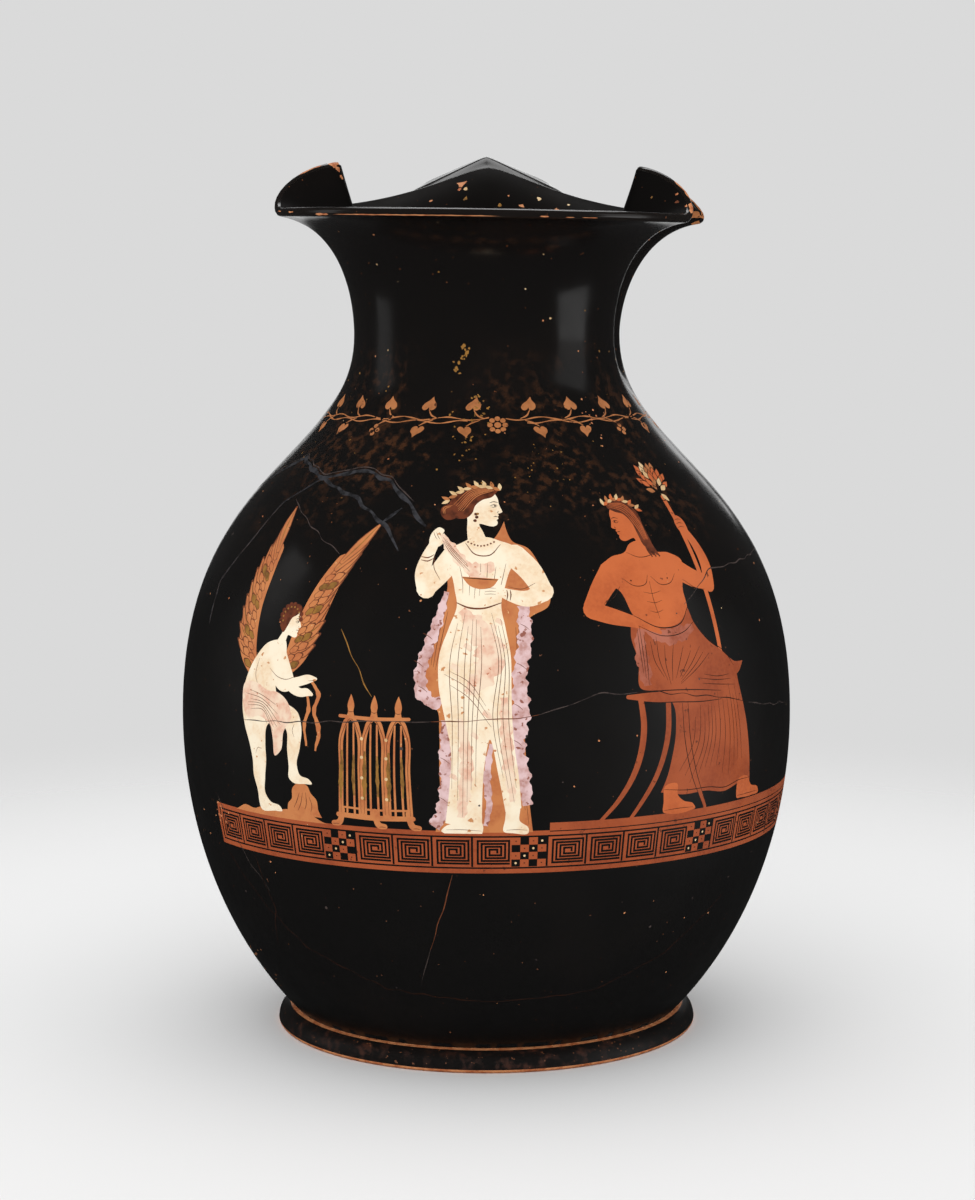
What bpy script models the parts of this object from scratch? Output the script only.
"""A wine jug of fired clay with a three-lobed mouth, a low ring foot and a ridged strap handle.

The jug is one solid. Its skin is a loft of level sections, round on the belly and pinched at the mouth
by a fold on each side. The skin is thickened inwards, and the foot ring and the handle are joined on.
The origin is under the middle of the whole jug, on the surface it stands on. +Z is up, the front lobe
points along -Y and the handle stands at +Y. All lengths are in metres.
"""

import math

import bmesh
import bpy
import numpy as np
from mathutils import Vector

# Belly and neck, on the outer face
BELLY_RADIUS = 0.0810
BELLY_HEIGHT = 0.0837
SHOULDER_FULLNESS = 0.0662
NECK_RADIUS = 0.0356
NECK_HEIGHT = 0.1840
NECK_LENGTH = 0.0337

# Ring foot and the groove between it and the belly
FOOT_RADIUS = 0.0562
FOOT_OVERHANG = 0.0041
FOOT_RING_WIDTH = 0.0098
FOOT_EDGE = 0.0008
GROOVE_HEIGHT = 0.0055
UNDERSIDE_RISE = 0.0042

# Clay thickness
WALL = 0.0042
LIP_WALL = 0.0024
CORNER_WIDTH = 0.0060

# Mouth as it opens before it is pinched
FLARE_START = 0.0065
FLARE_REACH = 0.0190
LIP_RADIUS = 0.0600
LIP_RISE = 0.0298
LIP_HEIGHT = NECK_HEIGHT + LIP_RISE
LIP_SLOPE = math.radians(6)
BACK_RISE = 0.0138
BACK_SPREAD = math.radians(29.5)
BACK_INSET = 0.0085
FRONT_INSET = 0.0040
MOUTH_SHIFT = 0.0006
MOUTH_LEAN_SIDE = -0.016
MOUTH_LEAN_BACK = 0.022

# Fold on each side of the mouth. Angles start at the front and grow to the right
RIGHT_FOLD_ANGLE = math.radians(82.5)
LEFT_FOLD_ANGLE = math.radians(-91.5)
FOLD_RADIUS = 0.0414
FOLD_RISE = 0.0142
FOLD_HEIGHT = LIP_HEIGHT + FOLD_RISE
FOLD_SLOPE = math.radians(75)
FOLD_FRONT_REACH = math.radians(20)
FOLD_BACK_REACH = math.radians(17)
FOLD_FRONT_LEAN = 0.27
FOLD_BACK_LEAN = 0.60
CREASE_DEPTH = 0.0032
CREASE_LENGTH = 0.0210

# Strap handle, from the back of the lip to the shoulder
HANDLE_WIDTH = 0.0230
HANDLE_EDGE = 0.0048
HANDLE_RIDGE = 0.0056
HANDLE_REACH = 0.0900
HANDLE_CROWN = 0.0037
HANDLE_SEAT_HEIGHT = 0.1330
HANDLE_LIP_WIDTH = 0.0420
HANDLE_SEAT_WIDTH = 0.0320

# Columns from a fold to the front and to the back, and how closely they gather at the fold
FRONT_COLUMNS = 13
BACK_COLUMNS = 14
FOLD_GATHER = 1.25

# Rows of the skin, steps round the foot and rows of the handle
LOWER_ROWS = 8
SHOULDER_ROWS = 14
MOUTH_ROWS = 9
FOOT_STEPS = 60
HANDLE_ROWS = 32

GLAZE = (0.012, 0.010, 0.009, 1.0)


def ease(t):
    """0 below 0, 1 above 1, and smooth between."""
    t = min(max(t, 0.0), 1.0)
    return t * t * (3 - 2 * t)


def bezier(corners, t):
    """Point of a cubic Bezier curve through four (radius, height) corners."""
    weights = ((1 - t) ** 3, 3 * (1 - t) ** 2 * t, 3 * (1 - t) * t**2, t**3)
    return tuple(sum(w * c[i] for w, c in zip(weights, corners)) for i in (0, 1))


def wrap(angle):
    """The same angle within half a turn of the front."""
    return (angle + math.pi) % (2 * math.pi) - math.pi


def nearest_fold(angle):
    """How far the lip has turned up into the nearer fold at this angle, and the lean of the fold's side.

    The turn is 0 where the lip lies open and a quarter turn in the crease.
    """
    to_right = wrap(angle - RIGHT_FOLD_ANGLE)
    to_left = wrap(LEFT_FOLD_ANGLE - angle)
    away = to_right if abs(to_right) < abs(to_left) else to_left
    reach, lean = (FOLD_FRONT_REACH, FOLD_FRONT_LEAN) if away < 0 else (FOLD_BACK_REACH, FOLD_BACK_LEAN)
    closeness = max(1 - abs(away) / reach, 0.0)
    return math.pi / 2 * math.sin(math.pi / 2 * closeness) ** 2, lean


def lower_point(t):
    """Lower belly, a stretch of an ellipse from the groove at 0 to the widest section at 1."""
    groove_radius = FOOT_RADIUS - FOOT_OVERHANG
    start = math.acos(groove_radius / BELLY_RADIUS)
    depth = (BELLY_HEIGHT - GROOVE_HEIGHT) / math.sin(start)
    turn = start * (1 - t)
    return BELLY_RADIUS * math.cos(turn), BELLY_HEIGHT - depth * math.sin(turn)


def shoulder_point(t):
    """Shoulder, from the widest section at 0 to the narrowest part of the neck at 1."""
    corners = (
        (BELLY_RADIUS, BELLY_HEIGHT),
        (BELLY_RADIUS, BELLY_HEIGHT + SHOULDER_FULLNESS),
        (NECK_RADIUS, NECK_HEIGHT - NECK_LENGTH),
        (NECK_RADIUS, NECK_HEIGHT),
    )
    return bezier(corners, t)


def shoulder_radius_at(height):
    samples = [shoulder_point(i / 200) for i in range(201)]
    return float(np.interp(height, [z for _, z in samples], [r for r, _ in samples]))


def open_mouth_point(angle, t):
    """Flare of the mouth before it is pinched, from the neck at 0 to the lip at 1."""
    from_back = math.pi - abs(wrap(angle))
    lip_radius = LIP_RADIUS - FRONT_INSET * (1 + math.cos(angle)) / 2
    lip_radius -= BACK_INSET * math.exp(-((from_back / (1.5 * BACK_SPREAD)) ** 2))
    corners = (
        (NECK_RADIUS, NECK_HEIGHT),
        (NECK_RADIUS, NECK_HEIGHT + FLARE_START),
        (lip_radius - FLARE_REACH * math.cos(LIP_SLOPE), LIP_HEIGHT - FLARE_REACH * math.sin(LIP_SLOPE)),
        (lip_radius, LIP_HEIGHT),
    )
    radius, height = bezier(corners, t)
    return radius, height + BACK_RISE * math.exp(-((from_back / BACK_SPREAD) ** 1.4)) * t**2


def crease_point(t):
    """Line of a fold's crease, from the neck at 0 to the tip of the fold at 1."""
    reach = (FOLD_HEIGHT - NECK_HEIGHT) / 3
    start_radius = NECK_RADIUS - CREASE_DEPTH
    corners = (
        (start_radius, NECK_HEIGHT),
        (start_radius, NECK_HEIGHT + reach),
        (FOLD_RADIUS - reach * math.cos(FOLD_SLOPE), FOLD_HEIGHT - reach * math.sin(FOLD_SLOPE)),
        (FOLD_RADIUS, FOLD_HEIGHT),
    )
    return bezier(corners, t)


def skin_point(angle, v):
    """Point of the outer face. v is 0 at the groove, 1 at the widest section, 2 in the neck, 3 at the lip."""
    turn, lean = nearest_fold(angle)
    drawn_in = 1 - math.cos(turn)
    mouth = v - 2
    if v <= 1:
        radius, height = lower_point(v)
    elif v <= 2:
        radius, height = shoulder_point(v - 1)
        radius -= CREASE_DEPTH * drawn_in * ease(1 + (height - NECK_HEIGHT) / CREASE_LENGTH)
    else:
        radius, height = open_mouth_point(angle, mouth)
        crease_radius, crease_height = crease_point(mouth)
        drawn_up = (1 - lean) * math.sin(turn) + lean * drawn_in
        radius += (crease_radius - radius) * drawn_in
        height += (crease_height - height) * drawn_up
    x = radius * math.sin(angle)
    y = -radius * math.cos(angle)
    in_mouth = ease(mouth)
    height += in_mouth * (MOUTH_LEAN_SIDE * x + MOUTH_LEAN_BACK * y)
    return Vector((x + MOUTH_SHIFT * in_mouth, y, height))


def skin_normal(angle, v):
    step = 1e-3
    around = skin_point(angle + step, v) - skin_point(angle - step, v)
    up = skin_point(angle, min(v + step, 3)) - skin_point(angle, max(v - step, 0))
    return around.cross(up).normalized()


def column_angles():
    """Angles of the skin's columns, once round from the front to the right, closer together at the folds."""
    angles = []
    for fold, pole, count, to_fold in (
        (RIGHT_FOLD_ANGLE, 0.0, FRONT_COLUMNS, True),
        (RIGHT_FOLD_ANGLE, math.pi, BACK_COLUMNS, False),
        (LEFT_FOLD_ANGLE, -math.pi, BACK_COLUMNS, True),
        (LEFT_FOLD_ANGLE, 0.0, FRONT_COLUMNS, False),
    ):
        quarter = [fold + (pole - fold) * (i / count) ** FOLD_GATHER for i in range(count + 1)]
        if to_fold:
            quarter.reverse()
        angles += quarter[:-1]
    return angles


def skin_values():
    """Values of v for the level rows of the wall, from the groove to the lip."""
    lower = [i / LOWER_ROWS for i in range(LOWER_ROWS)]
    shoulder = [1 + i / SHOULDER_ROWS for i in range(SHOULDER_ROWS)]
    mouth = [2 + i / MOUTH_ROWS for i in range(MOUTH_ROWS + 1)]
    return lower + shoulder + mouth


def loft(name, rows, bottom=None, top=None):
    """Mesh object over closed rows of points, with an end filled round its centre where one is given.

    Rows run upwards and their points to the right, seen from outside.
    """
    bm = bmesh.new()
    loops = [[bm.verts.new(p) for p in row] for row in rows]
    for low, high in zip(loops, loops[1:]):
        for i in range(len(low)):
            j = (i + 1) % len(low)
            bm.faces.new((low[i], low[j], high[j], high[i]))
    if bottom is not None:
        pole = bm.verts.new(bottom)
        for i in range(len(loops[0])):
            bm.faces.new((loops[0][(i + 1) % len(loops[0])], loops[0][i], pole))
    if top is not None:
        pole = bm.verts.new(top)
        for i in range(len(loops[-1])):
            bm.faces.new((loops[-1][i], loops[-1][(i + 1) % len(loops[-1])], pole))
    mesh = bpy.data.meshes.new(name)
    bm.to_mesh(mesh)
    bm.free()
    return bpy.data.objects.new(name, mesh)


def build_pot():
    """Skin of the pot from the middle of its underside to the lip, thickened inwards, with a round lip."""
    angles = column_angles()
    floor_radius = FOOT_RADIUS - FOOT_OVERHANG - CORNER_WIDTH / 2
    rows = []
    for radius in (floor_radius - CORNER_WIDTH, floor_radius):
        rows.append([Vector((radius * math.sin(a), -radius * math.cos(a), UNDERSIDE_RISE)) for a in angles])
    values = skin_values()
    rows += [[skin_point(a, v) for a in angles] for v in values]
    pot = loft("jug", rows, bottom=(0, 0, UNDERSIDE_RISE))

    full_wall = pot.vertex_groups.new(name="full_wall")
    full_wall.add(range(len(pot.data.vertices)), 1.0, "REPLACE")
    for row, v in enumerate(values, start=2):
        if v > 2:
            first = row * len(angles)
            full_wall.add(range(first, first + len(angles)), 1 - ease(v - 2), "REPLACE")

    wall = pot.modifiers.new("wall", "SOLIDIFY")
    wall.thickness = WALL
    wall.offset = -1
    wall.use_even_offset = True
    wall.vertex_group = full_wall.name
    wall.thickness_vertex_group = LIP_WALL / WALL
    lip = pot.modifiers.new("lip", "BEVEL")
    lip.width = 0.45 * LIP_WALL
    lip.segments = 2
    lip.use_clamp_overlap = False
    lip.limit_method = "ANGLE"
    lip.angle_limit = math.radians(75)
    return pot


def build_foot():
    """Foot ring, turned from its profile. Its top is buried in the clay of the belly."""
    inside = FOOT_RADIUS - FOOT_RING_WIDTH
    groove_radius = FOOT_RADIUS - FOOT_OVERHANG
    shoulder_radius = FOOT_RADIUS - FOOT_OVERHANG / 2
    profile = (
        (inside + UNDERSIDE_RISE / 2, UNDERSIDE_RISE + WALL / 2),
        (groove_radius - WALL / 2, GROOVE_HEIGHT + FOOT_EDGE),
        (groove_radius + FOOT_EDGE / 2, GROOVE_HEIGHT),
        (shoulder_radius, GROOVE_HEIGHT - FOOT_EDGE),
        (FOOT_RADIUS - FOOT_EDGE / 2, GROOVE_HEIGHT / 2),
        (FOOT_RADIUS, FOOT_EDGE),
        (FOOT_RADIUS - FOOT_EDGE, 0),
        (inside, 0),
        (inside - UNDERSIDE_RISE / 4, UNDERSIDE_RISE + FOOT_EDGE),
    )
    mesh = bpy.data.meshes.new("foot_ring")
    corners = [(radius, 0, height) for radius, height in profile]
    edges = [(i, (i + 1) % len(corners)) for i in range(len(corners))]
    mesh.from_pydata(corners, edges, [])
    foot = bpy.data.objects.new("foot_ring", mesh)
    screw = foot.modifiers.new("turn", "SCREW")
    screw.steps = FOOT_STEPS
    screw.render_steps = FOOT_STEPS
    screw.use_merge_vertices = True
    screw.merge_threshold = 1e-5
    screw.use_smooth_shade = True
    return foot


def build_core():
    """The hollow and half the wall round it, for trimming the handle's ends inside the clay."""
    angles = column_angles()
    rows = []
    for v in skin_values():
        half_wall = (WALL + (LIP_WALL - WALL) * ease(v - 2)) / 2
        rows.append([skin_point(a, v) - skin_normal(a, v) * half_wall for a in angles])
    headroom = Vector((0, 0, 5 * HANDLE_CROWN))
    rows.append([p + headroom for p in rows[-1]])
    top = FOLD_HEIGHT + headroom.z
    return loft("core", rows, bottom=(0, 0, rows[0][0].z), top=(0, 0, top))


def handle_path():
    """Middle line of the strap in the plane X = 0, from inside the lip's clay to inside the shoulder's.

    It is a smooth curve through points set as shares of the strap's reach and of its drop.
    """
    lip = skin_point(math.pi, 3) - skin_normal(math.pi, 3) * LIP_WALL / 2
    seat = Vector((0, shoulder_radius_at(HANDLE_SEAT_HEIGHT), HANDLE_SEAT_HEIGHT))
    top = lip.z + HANDLE_CROWN - HANDLE_RIDGE
    reach = HANDLE_REACH - HANDLE_RIDGE
    out = reach - lip.y
    drop = top - seat.z
    back = reach - seat.y
    outline = (
        (lip.y - LIP_WALL / 2, lip.z - LIP_WALL / 2),
        (lip.y + 0.16 * out, top),
        (lip.y + 0.42 * out, top),
        (lip.y + 0.73 * out, top - 0.085 * drop),
        (reach - 0.035 * out, top - 0.22 * drop),
        (reach, top - 0.36 * drop),
        (reach - 0.035 * out, top - 0.50 * drop),
        (reach - 0.30 * back, top - 0.67 * drop),
        (reach - 0.63 * back, top - 0.83 * drop),
        (seat.y + 0.08 * back, seat.z),
        (seat.y + 0.04 * back, seat.z - 0.15 * drop),
    )
    points = [Vector((0, y, z)) for y, z in outline]
    points = [2 * points[0] - points[1], *points, 2 * points[-1] - points[-2]]
    spans = len(points) - 3
    path = []
    for i in range(HANDLE_ROWS + 1):
        place = i / HANDLE_ROWS * spans
        k = min(int(place), spans - 1)
        t = place - k
        a, b, c, d = points[k : k + 4]
        bend = (2 * a - 5 * b + 4 * c - d) * t**2 + (3 * b - a - 3 * c + d) * t**3
        path.append(b + ((c - a) * t + bend) / 2)
    return path


def blend(start, middle, end, share):
    """A size along the strap: at the lip, where it is free, and on the shoulder."""
    return middle + (start - middle) * ease(1 - share / 0.30) + (end - middle) * ease((share - 0.72) / 0.28)


def handle_section(middle, along, share):
    """Section of the strap: a roof with a rounded ridge, flat beneath.

    It grows out of the lip as a thin plate along the rim, and both its ends bend round the pot.
    """
    rise = BACK_RISE / (BACK_SPREAD * LIP_RADIUS)  # slope of the rim on each side of the back
    in_lip = ease(1 - share / 0.10)
    half = blend(HANDLE_LIP_WIDTH, HANDLE_WIDTH, HANDLE_SEAT_WIDTH, share) / 2
    ridge = HANDLE_RIDGE + (LIP_WALL / 2 - HANDLE_RIDGE) * in_lip
    edge = (HANDLE_EDGE + (LIP_WALL - HANDLE_EDGE) * in_lip) / 2
    roof = (HANDLE_RIDGE - HANDLE_EDGE / 4) / (HANDLE_WIDTH / 2)
    roof = blend(0.60, roof, roof, share)
    roof += (rise - roof) * in_lip
    bend = blend(rise, 0.0, 0.0, share)
    round_pot = blend(1.0, 0.0, 1.0, share)
    outline = []
    for x in (-0.97, -0.60, -0.16, 0, 0.16, 0.60, 0.97):
        outline.append((x * half, ridge - roof * max(abs(x) - 0.10, 0) * half))
    for x in (1, 0.86, 0.45, 0, -0.45, -0.86, -1):
        lift = edge if abs(x) == 1 else 0
        outline.append((x * half, lift - edge - bend * abs(x) * half))
    across = Vector((1, 0, 0))
    outwards = across.cross(along).normalized()
    pot_radius = min(middle.y, HANDLE_REACH)
    section = []
    for x, y in outline:
        setback = Vector((0, round_pot * (math.sqrt(pot_radius**2 - x**2) - pot_radius), 0))
        section.append(middle + across * x + outwards * y + setback)
    return section


def build_handle():
    path = handle_path()
    rows = []
    for i, middle in enumerate(path):
        along = path[min(i + 1, len(path) - 1)] - path[max(i - 1, 0)]
        rows.append(handle_section(middle, along, i / (len(path) - 1)))
    return loft("handle", rows, bottom=path[0], top=path[-1])


def add_boolean(target, other, operation):
    modifier = target.modifiers.new(other.name, "BOOLEAN")
    modifier.operation = operation
    modifier.object = other


def glaze_material():
    material = bpy.data.materials.new("black_glaze")
    material.use_nodes = True
    shader = material.node_tree.nodes["Principled BSDF"]
    shader.inputs["Base Color"].default_value = GLAZE
    shader.inputs["Roughness"].default_value = 0.25
    shader.inputs["Metallic"].default_value = 0.0
    return material


def main():
    for obj in list(bpy.data.objects):
        bpy.data.objects.remove(obj)
    parts = bpy.data.collections.new("wine_jug")
    cutters = bpy.data.collections.new("cutters")
    bpy.context.scene.collection.children.link(parts)
    bpy.context.scene.collection.children.link(cutters)

    pot_axis = bpy.data.objects.new("pot_axis", None)
    pot_axis.location.y = (BELLY_RADIUS - HANDLE_REACH) / 2
    parts.objects.link(pot_axis)
    pot, foot, handle, core = build_pot(), build_foot(), build_handle(), build_core()
    parts.objects.link(pot)
    for cutter in (foot, handle, core):
        cutters.objects.link(cutter)
        cutter.hide_render = True
        cutter.display_type = "WIRE"
    for obj in (pot, foot, handle, core):
        obj.parent = pot_axis
        obj.data.shade_smooth()

    add_boolean(handle, core, "DIFFERENCE")
    add_boolean(pot, foot, "UNION")
    add_boolean(pot, handle, "UNION")
    pot.data.materials.append(glaze_material())


main()
